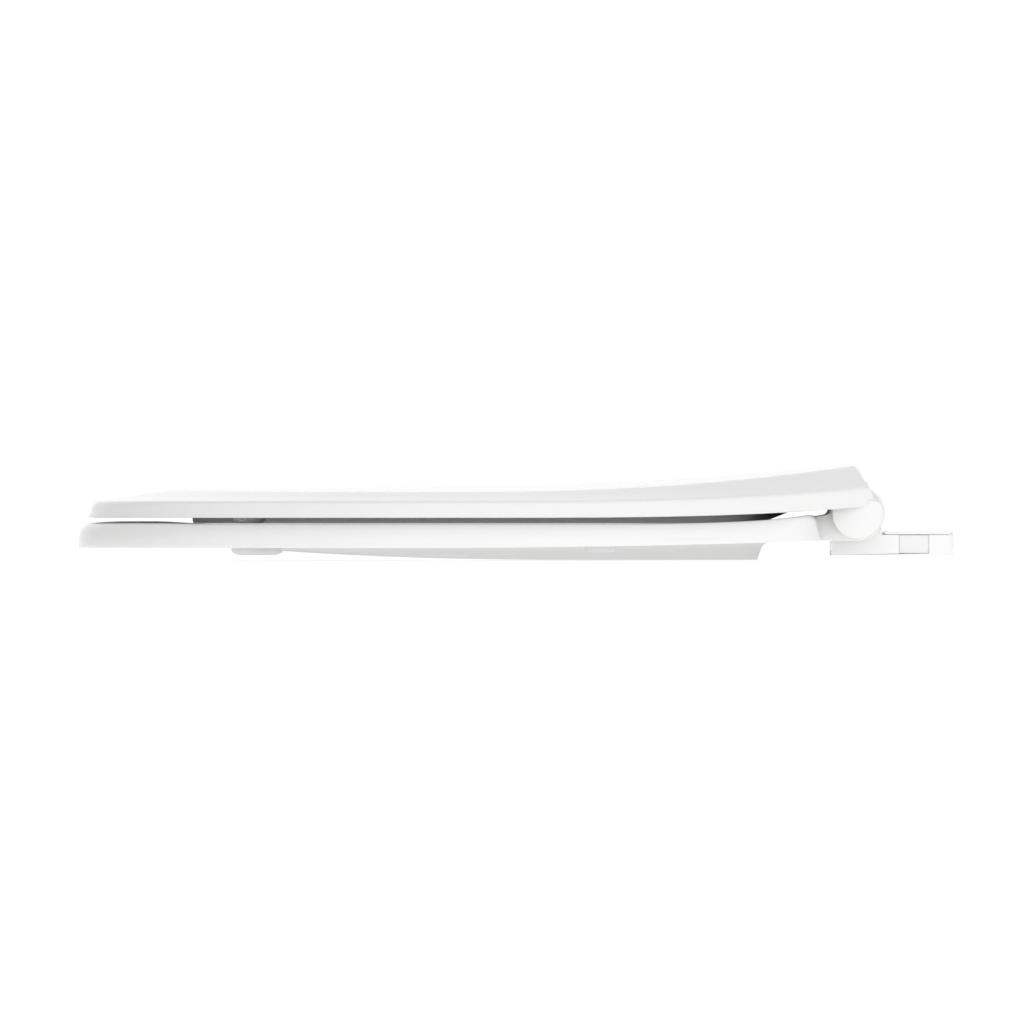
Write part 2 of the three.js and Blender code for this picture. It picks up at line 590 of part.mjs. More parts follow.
function unitCoverPiece() {
  const outer = UNIT.halfWidth - GAP;
  const inner = outer - UNIT.wall;
  const nozzleWindow = box([-GUIDE.halfWidth - GAP, -60, -1], [GUIDE.halfWidth + GAP, -40, GUIDE.top + GAP]);
  const inletHole = rod('y', WATER_INLET.radius + GAP, 15, 30, [WATER_INLET.x, WATER_INLET.z], 24);
  const { from: [x0, z0], to: [x1, z1] } = POWER_INLET;
  const powerHole = box([x0 - GAP, 15, z0 - GAP], [x1 + GAP, 30, z1 + GAP]);
  let shell = across(unitOutline(0), -outer, outer).subtract(across(unitOutline(UNIT.wall), -inner, inner));
  for (const x of Object.values(PUSH_BUTTON.xs)) {
    shell = shell.subtract(rod('z', PUSH_BUTTON.radius + GAP, 8, 20, [x, PUSH_BUTTON.y], 28));
  }
  return shell.subtract(nozzleWindow).subtract(inletHole).subtract(powerHole);
}

// The floor of the unit, with four saddles under the heater and the valve.
function unitBasePiece() {
  const reach = UNIT.halfWidth - GAP;
  let floor = box([-reach, FOOT.front, 0], [reach, FOOT.rear, UNIT.plate]);
  for (const x of SADDLES.xs) {
    floor = floor.add(box([x - SADDLES.thick / 2, AXIS_Y - SADDLES.halfLength, 1],
      [x + SADDLES.thick / 2, AXIS_Y + SADDLES.halfLength, SADDLES.top]));
  }
  const cradle = rod('x', HEATER.radius + GAP, -60, 60, [AXIS_Y, AXIS_Z]);
  const slot = box([-GUIDE.halfWidth - GAP, -60, 0.6], [GUIDE.halfWidth + GAP, GUIDE.rear + GAP, 5]);
  return floor.subtract(cradle).subtract(slot);
}

function nozzleRod(radius, from, to) {
  return rod('y', radius, from, to, [0, NOZZLE.z], 20);
}

const SLEEVE_FRONT = NOZZLE.front + NOZZLE.tipLength + GAP;

function nozzleGuidePiece() {
  const block = box([-GUIDE.halfWidth, FOOT.front + 0.5, 0.6 + GAP], [GUIDE.halfWidth, GUIDE.rear, GUIDE.top]);
  return block.subtract(nozzleRod(NOZZLE.sleeve + GAP, FOOT.front - 5, NOZZLE.rear + 1));
}

function nozzleSleevePiece() {
  return nozzleRod(NOZZLE.sleeve, SLEEVE_FRONT, NOZZLE.rear)
    .subtract(nozzleRod(NOZZLE.tube + GAP, SLEEVE_FRONT - 1, NOZZLE.rear - 1.5));
}

function nozzleTubePiece() {
  return nozzleRod(NOZZLE.tube, SLEEVE_FRONT, NOZZLE.rear - 2);
}

// The spray head: a rounded plug with a ring of fine holes on its upper side.
function nozzleTipPiece() {
  const back = SLEEVE_FRONT - GAP;
  const head = joined(nozzleRod(NOZZLE.sleeve, NOZZLE.front + 1, back), nozzleRod(NOZZLE.sleeve - 0.6, NOZZLE.front, back));
  let tip = head;
  for (const [x, y] of [[0, 0], [1.1, 0], [-1.1, 0], [0, 1.1], [0, -1.1]]) {
    tip = tip.subtract(rod('z', 0.35, NOZZLE.z + 1, NOZZLE.z + 6, [x, NOZZLE.front + 3.2 + y], 8));
  }
  return tip;
}

function nozzleSpringPiece() {
  return coil(NOZZLE_SPRING, NOZZLE_SPRING.front, NOZZLE_SPRING.rear, [GUIDE.halfWidth + 3, 4.8], 'y');
}

function heaterPiece() {
  const { radius, from, to, collarRadius, collarAt, spigotRadius, spigotEnd } = HEATER;
  const body = rod('x', radius, from, to, [AXIS_Y, AXIS_Z]);
  const spigot = rod('x', spigotRadius, to - 1, spigotEnd, [AXIS_Y, AXIS_Z], 20);
  const collar = rod('x', collarRadius, collarAt - 1, collarAt + 1, [AXIS_Y, AXIS_Z]);
  return joined(body, spigot, collar);
}

function valvePiece() {
  const { half, from, to, solenoidRadius, solenoidEnd, coreRadius, coreEnd } = VALVE;
  const body = box([from, AXIS_Y - half, AXIS_Z - half], [to, AXIS_Y + half, AXIS_Z + half]);
  const solenoid = rod('x', solenoidRadius, to - 0.5, solenoidEnd, [AXIS_Y, AXIS_Z]);
  const core = rod('x', coreRadius, solenoidEnd - 1, coreEnd, [AXIS_Y, AXIS_Z], 20);
  return joined(body, solenoid, core);
}

function controlBoardPiece() {
  let board = box([...BOARD.from, BOARD.bottom], [...BOARD.to, BOARD.top]);
  const { half } = SWITCH;
  for (const x of Object.values(PUSH_BUTTON.xs)) {
    board = board.add(box([x - half, PUSH_BUTTON.y - half, BOARD.top - GAP],
      [x + half, PUSH_BUTTON.y + half, SWITCH.top]));
  }
  for (const [x, y, width, height] of BOARD_CHIPS) {
    board = board.add(box([x - width / 2, y - 3, BOARD.top - GAP], [x + width / 2, y + 3, BOARD.top + height]));
  }
  return board;
}

function powerInletPiece() {
  const { from: [x0, z0], to: [x1, z1], front, wall } = POWER_INLET;
  const shroud = box([x0, front, z0], [x1, FOOT.rear, z1]);
  const cavity = box([x0 + wall, front + 1.2, z0 + wall], [x1 - wall, FOOT.rear + 1, z1 - wall]);
  const pins = POWER_INLET.pins.map((x) => box([x - 0.4, front + 0.8, 6.2], [x + 0.4, FOOT.rear - 1.3, 7.8]));
  return joined(shroud.subtract(cavity), ...pins);
}

function waterInletPiece() {
  const { x, z, radius } = WATER_INLET;
  const body = joined(rod('y', radius, 6, FOOT.rear, [x, z], 28), box([x - 6, -2, z - 4], [x + 6, 7, z + 4]));
  return body.subtract(rod('y', radius - 1, 9, FOOT.rear + 1, [x, z], 24));
}

// The hose from the heater's outlet down to the rear of the nozzle guide.
function sprayHosePiece() {
  const path = new THREE.CatmullRomCurve3(HOSE.path.map((place) => new THREE.Vector3(...place)));
  const section = new THREE.Shape();
  section.absarc(0, 0, HOSE.radius, 0, 2 * Math.PI);
  return toSolid(new THREE.ExtrudeGeometry(section,
    { steps: 18, extrudePath: path, bevelEnabled: false, curveSegments: 4 }));
}

function pushButtonPiece(x) {
  const stem = rod('z', PUSH_BUTTON.radius, 8.9, PUSH_BUTTON.top, [x, PUSH_BUTTON.y], 28);
  const flange = rod('z', PUSH_BUTTON.radius + 1, 8.9, 10.2, [x, PUSH_BUTTON.y], 28);
  return stem.add(flange);
}

// ---------------------------------------------------------------- assembly
const object = new THREE.Group();

function addPiece(name, solid, color, roughness = 0.3, metalness = 0) {
  const material = new THREE.MeshStandardMaterial({ color, roughness, metalness });
  const mesh = new THREE.Mesh(toGeometry(solid), material);
  mesh.name = name;
  object.add(mesh);
}

// The right-hand piece is at +X, and the left-hand one is its mirror image.
function addPair(name, solid, color, roughness, metalness) {
  addPiece(`${name}_right`, solid, color, roughness, metalness);
  addPiece(`${name}_left`, solid.mirror([1, 0, 0]), color, roughness, metalness);
}

addPiece('seat_top', seatTopPiece(), WHITE, 0.2);
addPiece('seat_base', seatBasePiece(), WHITE, 0.3);
addPiece('seat_heater', seatHeaterPiece(), '#b9bcc0', 0.4, 0.6);
addPiece('seat_sensor', seatSensorPiece(), '#2b2b2b', 0.5);

addPiece('lid_shell', lidShellPiece(), WHITE, 0.2);
addPiece('lid_inner_panel', lidLinerPiece(), WHITE, 0.3);
for (const [name, place] of Object.entries(BUMPERS)) addPair(name, bumper(place), GREY, 0.7);

addPair('hinge_bracket', bracketPiece(), WHITE, 0.3);
addPair('deck_pad', deckPadPiece(), GREY, 0.8);
addPair('adjuster_disc', adjusterDiscPiece(), '#b4b7ba', 0.35, 0.9);
addPair('bolt_cover', boltCoverPiece(), WHITE, 0.25);
addPair('release_button', releaseButtonPiece(), WARM_WHITE, 0.35);
addPair('release_spring', releaseSpringPiece(), '#9da1a5', 0.3, 0.9);
addPair('hinge_bush', bushPiece(), GREY, 0.4);
addPair('hinge_pin', pinPiece(), '#c4c7ca', 0.25, 1);
addPiece('seat_damper', damperPiece(), '#3a3c3f', 0.5);
addPiece('lid_damper', damperPiece().mirror([1, 0, 0]), '#3a3c3f', 0.5);

addPiece('unit_base', unitBasePiece(), WARM_WHITE, 0.4);
addPiece('unit_cover', unitCoverPiece(), WHITE, 0.25);
addPiece('nozzle_guide', nozzleGuidePiece(), WARM_WHITE, 0.4);
addPiece('nozzle_sleeve', nozzleSleevePiece(), '#c4c7ca', 0.2, 1);
addPiece('nozzle_tube', nozzleTubePiece(), '#d4d6d8', 0.2, 1);
addPiece('nozzle_tip', nozzleTipPiece(), WARM_WHITE, 0.35);
addPiece('nozzle_spring', nozzleSpringPiece(), '#9da1a5', 0.3, 0.9);
addPiece('water_heater', heaterPiece(), '#b4b7ba', 0.35, 0.8);
addPiece('water_valve', valvePiece(), '#2f3134', 0.5);
addPiece('water_inlet', waterInletPiece(), WARM_WHITE, 0.4);
addPiece('spray_hose', sprayHosePiece(), '#dfe3e4', 0.5);
addPiece('control_board', controlBoardPiece(), '#2f6b43', 0.5);
addPiece('power_inlet', powerInletPiece(), '#2b2b2b', 0.45);
for (const [name, x] of Object.entries(PUSH_BUTTON.xs)) addPiece(name, pushButtonPiece(x), WARM_WHITE, 0.35);

export default object;
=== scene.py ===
"""Slim white seat and lid on round hinges: the finished surfaces, materials, light and camera."""
import json
import math

import bmesh
import bpy
import numpy as np
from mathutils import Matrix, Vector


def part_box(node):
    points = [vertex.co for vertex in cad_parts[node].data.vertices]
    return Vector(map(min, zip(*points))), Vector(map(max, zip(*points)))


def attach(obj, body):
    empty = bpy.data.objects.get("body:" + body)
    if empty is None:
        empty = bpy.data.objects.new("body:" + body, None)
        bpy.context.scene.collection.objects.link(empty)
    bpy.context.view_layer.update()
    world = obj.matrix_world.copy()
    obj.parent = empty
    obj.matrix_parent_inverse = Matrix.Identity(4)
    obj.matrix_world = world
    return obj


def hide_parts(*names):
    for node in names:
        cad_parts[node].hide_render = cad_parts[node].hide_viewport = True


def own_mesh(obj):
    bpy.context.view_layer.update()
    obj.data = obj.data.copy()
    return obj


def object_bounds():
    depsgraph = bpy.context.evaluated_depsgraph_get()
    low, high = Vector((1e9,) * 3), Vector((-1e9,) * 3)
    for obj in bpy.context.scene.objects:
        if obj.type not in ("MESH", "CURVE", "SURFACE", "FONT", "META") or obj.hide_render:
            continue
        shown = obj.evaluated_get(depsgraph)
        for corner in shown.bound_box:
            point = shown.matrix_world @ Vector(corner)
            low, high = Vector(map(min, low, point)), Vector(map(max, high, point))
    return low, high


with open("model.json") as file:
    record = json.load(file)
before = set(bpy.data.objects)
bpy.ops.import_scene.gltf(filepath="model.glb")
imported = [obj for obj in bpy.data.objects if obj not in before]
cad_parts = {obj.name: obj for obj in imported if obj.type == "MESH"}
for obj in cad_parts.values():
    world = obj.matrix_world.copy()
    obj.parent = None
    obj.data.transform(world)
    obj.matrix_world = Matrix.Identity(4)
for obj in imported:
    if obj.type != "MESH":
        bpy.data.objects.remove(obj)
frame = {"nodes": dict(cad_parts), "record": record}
cad_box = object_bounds()

MM = 0.001

# ------------------------------------------------------------------ sizes, in millimetres
AXIS_Y, AXIS_Z = -32.8, 23.5              # the hinge line
BARREL = {"radius": 15.4, "inner": 88.0, "outer": 117.5}
EAR = {"radius": 14.2, "inner": 118.0, "outer": 128.0}
PIN_HOLE = 6.3

# Plan outlines: two half ellipses that meet where the shape is widest, cut off at the rear.
SEAT = {"front": -469.0, "widest": -230.0, "half": 182.5, "reach": 295.0, "rear": -53.0, "corner": 14.0}
OPENING = {"front": -407.0, "widest": -255.0, "half": 105.0, "reach": 205.0, "rear": -88.5, "corner": 30.0}
LID_FOOT = {"front": -463.4, "widest": -230.0, "half": 177.5, "reach": 295.0, "rear": -20.4, "corner": 5.0}
LID_HEAD = {"front": -460.8, "widest": -230.0, "half": 175.1, "reach": 292.6, "rear": -24.6, "corner": 5.0}
LID_REAR = [(27.0, -20.4), (31.0, -22.4), (48.2, -31.6), (60.0, -33.4)]   # height and Y on the rear face
LID_BACK_RIM = 41.0                       # the rear face's lower edge between the hinges

SEAT_WALL = 3.0
SEAT_EDGE = (6.7, 9.0)                    # rounding of the outer top edge: across, down
SEAT_REAR_EDGE = (0.4, -85.0, -62.0)      # that rounding shrinks to this share between these places
SEAT_REAR_LEAN = (3.4, -72.0, -53.0)      # and its top leans forward by up to this, between these places
SEAT_INNER_EDGE = 5.0
SEAT_CROWN = 1.5                          # rise of the ring's top across its width at the nose
SEAT_CROWN_Y = (-388.0, -428.0)           # where that rise begins and is full
SEAT_DISH = 1.6                           # and fall of the top towards the opening elsewhere
RING_LEDGE = 2.8                          # the ring's lower inner edge, above the seat's bottom
BASE_PLATE = 2.2
PLATE_LIFT = 0.3                          # the plate's lower face, above the seat's bottom
SKIRT_WALL = 2.4
SKIRT_FILLET = 6.0
SKIRT_LOW, SKIRT_RISE = -2.6, 7.0
SKIRT_FRONT, SKIRT_FULL = -381.0, -176.0
NOZZLE_ARCH = (8.0, 15.0)                 # the skirt is cut away up to here, and whole from here
NOZZLE_ROOM = 0.7                         # the plate is thinner by this over the nozzle

LID_WALL = 2.8
BORDER_SIDE, BORDER_FRONT = 28.0, 52.0
SPINE_Y = -240.0                          # the mesh lines of a lid or liner run towards this place
LID_TAIL = 70.0                           # how far the lid's mesh lines spread out from its rear edge
LID_TAIL_HALF = 124.0                     # half the width over which they do
LID_TAIL_Y = (-60.0, -36.0)
EAR_TOP = 30.6                            # flat top of the ear's web, inside the lid
EAR_WEB_Y = (-46.0, -22.3)
ARM_FRONT = -61.0                         # where the arms begin, inside the ring
ARM_TOP = 21.0
LINER = 2.0
LINER_LIFT = 0.8                          # the liner's lower face, above the lid's lower edge
LINER_GAP = 0.8 * 2.4 + 0.4               # between the liner's edge and the inside of the lid's wall
LINER_REAR, LINER_CORNER = -50.0, 8.0
PLATEAU_FRONT, PLATEAU_CORNER = -412.5, 45.0
PLATEAU_BOTTOM = 17.7
PLATEAU_MARGIN = 7.0
PLATEAU_TAIL = (-93.0, -84.0, -68.3)      # where the plateau's flat bottom starts to rise, and ends

FINER_GAP = 0.15                          # taken off the gap between a release button and its pocket

STATIONS = 120                            # points along half of an outline

# ------------------------------------------------------------------ light
TENT_LEVEL = 0.59                         # light from all round
TENT_SIDES = 0.74                         # more from the two sides
TENT_FRONT = 0.43                         # less from the front
TENT_LEAN = (0.16, 0.0, 0.12)             # and its lean, to the right and the top
FLOOR_GLOW = 0.375
FLOOR_HALF, FLOOR_DROP = 6.0, 0.0005      # metres; the floor lies just below the pads

# ------------------------------------------------------------------ camera, in metres
LENS, SENSOR = 1400, 36
FRAME_WIDTH = 0.5734                      # what the picture spans at the plane it is measured on
FRAME_AT = (0.06, -0.2257, 0.0242)        # the middle of the picture, on that plane


# ------------------------------------------------------------------ heights along the seat
def rising(level, rise, start, span, power):
    """A height that is level up to start, and has gained rise after span, along a power curve."""
    return lambda y: level + rise * (np.maximum(0, y - start) / span) ** power


seat_top = rising(17.5, 4.8, -200, 144, 3.4)
seat_bottom = rising(4.1, 3.9, -300, 244, 2.2)
lid_bottom = rising(20.9, 5.4, -260, 221, 3.5)
lid_wall_top = rising(30.1, 6.7, -260, 221, 3)
lid_border_top = rising(35.4, 14, -260, 221, 2.3)
lid_crown_rise = rising(0, 9.4, -240, 201, 2)


def lid_crown(y):
    return 38.8 + 0.0119 * (y + 249) + lid_crown_rise(y)


def skirt_bottom(y):
    """The skirt is full height at the back and gets shallower towards the nose."""
    along = np.clip((SKIRT_FULL - y) / (SKIRT_FULL - SKIRT_FRONT), 0, 1)
    return SKIRT_LOW + SKIRT_RISE * along ** 2.5


def smooth(value, low, high):
    """A soft step from 0 at low to 1 at high."""
    share = np.clip((value - low) / (high - low), 0, 1)
    return share * share * (3 - 2 * share)


# ------------------------------------------------------------------ plan outlines
def half_outline(egg, inset=0.0):
    """From the nose to the middle of the rear edge: ellipses, a rounded corner, a straight edge."""
    half, reach = egg["half"] - inset, egg["widest"] - egg["front"] - inset
    rear_reach, rear, corner = egg["reach"] - inset, egg["rear"] - inset, egg["corner"]
    front = np.linspace(-math.pi / 2, 0, 200)[:-1]
    points = [np.stack([half * np.cos(front), egg["widest"] + reach * np.sin(front)], 1)]
    last = math.asin(min(1.0, (rear - corner - egg["widest"]) / rear_reach))
    side = np.linspace(0, last, 200)
    points.append(np.stack([half * np.cos(side), egg["widest"] + rear_reach * np.sin(side)], 1))
    start = points[-1][-1]
    control = np.array([start[0] - corner / 3, rear])
    end = np.array([start[0] - corner * 1.3, rear])
    t = np.linspace(0, 1, 30)[1:, None]
    points.append((1 - t) ** 2 * start + 2 * t * (1 - t) * control + t * t * end)
    points.append(np.array([[0.0, rear]]))
    return np.concatenate(points)


def outline(egg, inset=0.0, count=STATIONS):
    """A closed outline of 2 * count points, evenly spaced along each half, starting at the nose."""
    half = half_outline(egg, inset)
    length = np.concatenate([[0], np.cumsum(np.linalg.norm(np.diff(half, axis=0), axis=1))])
    at = np.linspace(0, length[-1], count + 1)
    even = np.stack([np.interp(at, length, half[:, k]) for k in (0, 1)], 1)
    even[0, 0] = even[-1, 0] = 0.0
    return np.concatenate([even, even[1:-1][::-1] * (-1, 1)])


def spine_of(points, tail=0.0):
    """Where the mesh line from each point ends on the centre line.

    A tail spreads out the ends of the lines that come from the rear edge.
    """
    middle = np.maximum(0, 1 - np.abs(points[:, 0]) / LID_TAIL_HALF)
    spread = tail * middle * smooth(points[:, 1], *LID_TAIL_Y)
    return np.stack([np.zeros(len(points)), SPINE_Y + 0.5 * (points[:, 1] - SPINE_Y) + spread], 1)


def crossings(points, towards, start):
    """Where rays from start towards each point cross the outline."""
    rays = towards - start
    a = points - start
    edge = np.roll(points, -1, 0) - points
    found = np.zeros_like(towards)
    for i, ray in enumerate(rays):
        turn = ray[0] * edge[:, 1] - ray[1] * edge[:, 0]
        turn[np.abs(turn) < 1e-12] = 1e-12
        reach = (a[:, 0] * edge[:, 1] - a[:, 1] * edge[:, 0]) / turn
        along = (a[:, 0] * ray[1] - a[:, 1] * ray[0]) / turn
        good = (reach > 0) & (along >= -1e-9) & (along <= 1 + 1e-9)
        found[i] = start + ray * reach[good].min()
    return found


# ------------------------------------------------------------------ mesh making
def as_object(name, mesh, angle=40):
    """An object from a mesh in metres: joined, with its normals outwards and smooth up to this angle."""
    bm = bmesh.new()
    bm.from_mesh(mesh)
    bmesh.ops.remove_doubles(bm, verts=bm.verts, dist=1e-6)
    bmesh.ops.dissolve_degenerate(bm, edges=bm.edges, dist=1e-7)
    bmesh.ops.recalc_face_normals(bm, faces=bm.faces)
    bm.to_mesh(mesh)
    bm.free()
    mesh.shade_smooth()
    mesh.set_sharp_from_angle(angle=math.radians(angle))
    made = bpy.data.objects.new(name, mesh)
    bpy.context.scene.collection.objects.link(made)
    return made


def loft(name, rows, close_profile):
    """A skin over stations that go round, each with its own row of points in millimetres."""
    stations, count = rows.shape[:2]
    faces = []
    for i in range(stations):
        j = (i + 1) % stations
        for k in range(count if close_profile else count - 1):
            m = (k + 1) % count
            faces.append((i * count + k, j * count + k, j * count + m, i * count + m))
    mesh = bpy.data.meshes.new(name)
    mesh.from_pydata((rows.reshape(-1, 3) * MM).tolist(), [], faces)
    return as_object(name, mesh)


def side_profile(name, loops, low, high, edge):
    """Closed loops drawn in Y and Z, filled and carried across from X = low to X = high, with soft edges."""
    curve = bpy.data.curves.new(name, "CURVE")
    curve.dimensions = "2D"
    curve.fill_mode = "BOTH"
    curve.extrude = ((high - low) / 2 - edge) * MM
    curve.bevel_depth = edge * MM
    curve.bevel_resolution = 3
    curve.offset = -edge * MM
    for loop in loops:
        spline = curve.splines.new("POLY")
        spline.points.add(len(loop) - 1)
        for point, (y, z) in zip(spline.points, loop):
            point.co = (y * MM, z * MM, 0, 1)
        spline.use_cyclic_u = True
    drawn = bpy.data.objects.new(name, curve)
    bpy.context.scene.collection.objects.link(drawn)
    mesh = bpy.data.meshes.new_from_object(drawn.evaluated_get(bpy.context.evaluated_depsgraph_get()))
    bpy.data.objects.remove(drawn)
    points = np.empty(len(mesh.vertices) * 3, np.float32)
    mesh.vertices.foreach_get("co", points)
    points = points.reshape(-1, 3)[:, (2, 0, 1)]
    points[:, 0] += (low + high) / 2 * MM
    mesh.vertices.foreach_set("co", points.ravel())
    return as_object(name, mesh, angle=35)


def arc(centre, radius, start, end, steps):
    """Points on a circle, between two angles in degrees."""
    angles = np.radians(np.linspace(start, end, steps + 1))
    return np.stack([centre[0] + radius * np.cos(angles), centre[1] + radius * np.sin(angles)], 1)


def mirrored(source, name):
    """The left-hand copy of a right-hand piece."""
    made = source.copy()
    made.data = source.data.copy()
    made.name = made.data.name = name
    for vertex in made.data.vertices:
        vertex.co.x = -vertex.co.x
    made.data.flip_normals()
    bpy.context.scene.collection.objects.link(made)
    return made


# ------------------------------------------------------------------ lid
def edge_distance(x, y):
    """How far a plan point lies inside the lid's side outline, which is continued past the rear edge."""
    reach = np.where(y < LID_HEAD["widest"], LID_HEAD["widest"] - LID_HEAD["front"], LID_HEAD["reach"])
    u, v = x / LID_HEAD["half"], (y - LID_HEAD["widest"]) / reach
    level = np.sqrt(u * u + v * v)
    slope = np.sqrt((u / LID_HEAD["half"]) ** 2 + (v / reach) ** 2) + 1e-9
    return (1 - level) * level / slope


def border_width(y):
    """The lid's sloping border is wider round the nose."""
    return BORDER_SIDE + (BORDER_FRONT - BORDER_SIDE) * (np.maximum(0, -250 - y) / 213) ** 2


def lid_surface(x, y):
    """Height of the lid's top: a long crown with a sloping border all round its front and sides."""
    reach = np.where(y < LID_HEAD["widest"], LID_HEAD["widest"] - LID_HEAD["front"], LID_HEAD["reach"])
    width = LID_HEAD["half"] * np.sqrt(np.maximum(0.02, 1 - ((y - LID_HEAD["widest"]) / reach) ** 2))
    border = border_width(y)
    inner = np.maximum(width - border, 20)
    crown = lid_crown(y) - (lid_crown(y) - lid_border_top(y)) * np.minimum(1.3, (x / inner) ** 2)
    fall = 1 - np.maximum(0, edge_distance(x, y)) / border
    soft = 0.045
    fall = 0.5 * (fall + np.sqrt(fall * fall + soft * soft))
    return crown - (crown - lid_wall_top(y)) * fall


def lid_rim(points):
    """Height of the lid's lower edge: along the walls, and higher across the back, over the hinges."""
    x, y = np.abs(points[:, 0]), points[:, 1]
    back = (y > -40) * (1 - smooth(x, EAR["inner"] + 0.3, EAR["inner"] + 3))
    return lid_bottom(y) * (1 - back) + LID_BACK_RIM * back, back


def trimmed_to_rear(points, height_of):
    """Moves points that lie behind the slanting rear face forward, on to it."""
    for _ in range(3):
        face = np.interp(height_of(points), *zip(*LID_REAR))
        points = np.column_stack([points[:, 0], np.minimum(points[:, 1], face)])
    return points


def lid_rows():
    """The lid's rows of points: over its top, down its wall, round the lower edge and back inside."""
    foot, head = outline(LID_FOOT), outline(LID_HEAD)
    head = trimmed_to_rear(head, lambda points: lid_surface(points[:, 0], points[:, 1]))
    foot = trimmed_to_rear(foot, lambda points: lid_rim(points)[0])
    spine = spine_of(head, tail=LID_TAIL)
    length = np.linalg.norm(spine - head, axis=1)
    inward = (spine - head) / length[:, None]
    rim, back = lid_rim(foot)
    border = border_width(head[:, 1])
    rows = []

    def add(plan, height):
        rows.append(np.column_stack([plan, height]))

    def top_at(distance):
        plan = head + inward * np.minimum(distance, length)[:, None]
        return plan, lid_surface(plan[:, 0], plan[:, 1])

    # Over the crown, from the centre line out to the border.
    for share in (1, 0.93, 0.8, 0.65, 0.5, 0.36, 0.24, 0.14, 0.07):
        add(*top_at(border + 6 + (length - border - 6) * share))
    # The soft bend into the border, and down the border.
    for beyond in (6, 4, 2.6, 1.5, 0.6, -0.3, -1.2, -2.4, -4):
        add(*top_at(border + beyond))
    for share in (0.75, 0.6, 0.42, 0.26, 0.16):
        add(*top_at(border * share))
    # The rounded edge between border and wall, larger at the nose and the rear.
    nose = 1 - smooth(head[:, 1], -455, -415)
    rear = smooth(head[:, 1], -40, -33) * (1 - smooth(np.abs(head[:, 0]), 113, 124))
    soft = 2.0 + 2.0 * nose + 3.0 * rear
    soft_plan, soft_height = top_at(soft)
    edge_height = lid_surface(head[:, 0], head[:, 1])
    wall = (foot - head) / np.maximum(edge_height - rim, 1)[:, None]
    wall_plan = head + wall * soft[:, None]
    for t in np.linspace(0, 1, 9):
        plan = (1 - t) ** 2 * soft_plan + 2 * t * (1 - t) * head + t * t * wall_plan
        height = (1 - t) ** 2 * soft_height + 2 * t * (1 - t) * edge_height + t * t * (edge_height - soft)
        add(plan, height)
    # Down the wall, and round its lower edge.
    for share in (0.25, 0.5, 0.75, 0.92):
        add(wall_plan + (foot - wall_plan) * share, edge_height - soft + (rim - edge_height + soft) * share)
    add(foot, rim + 0.35)
    add(foot + inward * 0.25, rim + 0.06)
    add(foot + inward * 0.7, rim)
    add(foot + inward * LID_WALL, rim + 0.6 * back)
    add(foot + inward * (LID_WALL + 0.4), rim + 0.4 + 0.6 * back)
    add(foot + inward * (LID_WALL + 1.4), np.minimum(rim + 5, edge_height - LID_WALL - 0.5))
    # Back under the top.
    for distance in (10, 30):
        plan, height = top_at(np.full(len(head), float(distance)))
        add(plan, height - LID_WALL)
    for share in (0.2, 0.5, 0.8, 1):
        plan, height = top_at(border + (length - border) * share)
        add(plan, height - LID_WALL)
    return np.stack(rows, 1)


def make_lid():
    """The lid, with a round ear at each end of the hinge."""
    lid = loft("lid_skin", lid_rows(), close_profile=False)
    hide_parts("lid_shell")
    ear_loop = np.concatenate([
        arc((AXIS_Y, AXIS_Z), EAR["radius"], 158, 382, 60),
        [(EAR_WEB_Y[1], EAR_TOP), (EAR_WEB_Y[0], EAR_TOP)],
    ])
    ear = side_profile("lid_ear_right", [ear_loop], EAR["inner"], EAR["outer"], edge=0.7)
    pieces = [lid, ear, mirrored(ear, "lid_ear_left")]
    return [finish_piece(piece, "lid", "gloss_white") for piece in pieces]


def plateau_underside(y):
    """Height of the plateau's flat bottom, which slopes up to meet the liner at its rear end."""
    end = lid_bottom(PLATEAU_TAIL[2]) + LINER_LIFT
    return np.interp(y, PLATEAU_TAIL, (PLATEAU_BOTTOM, PLATEAU_BOTTOM + 1.25, end))


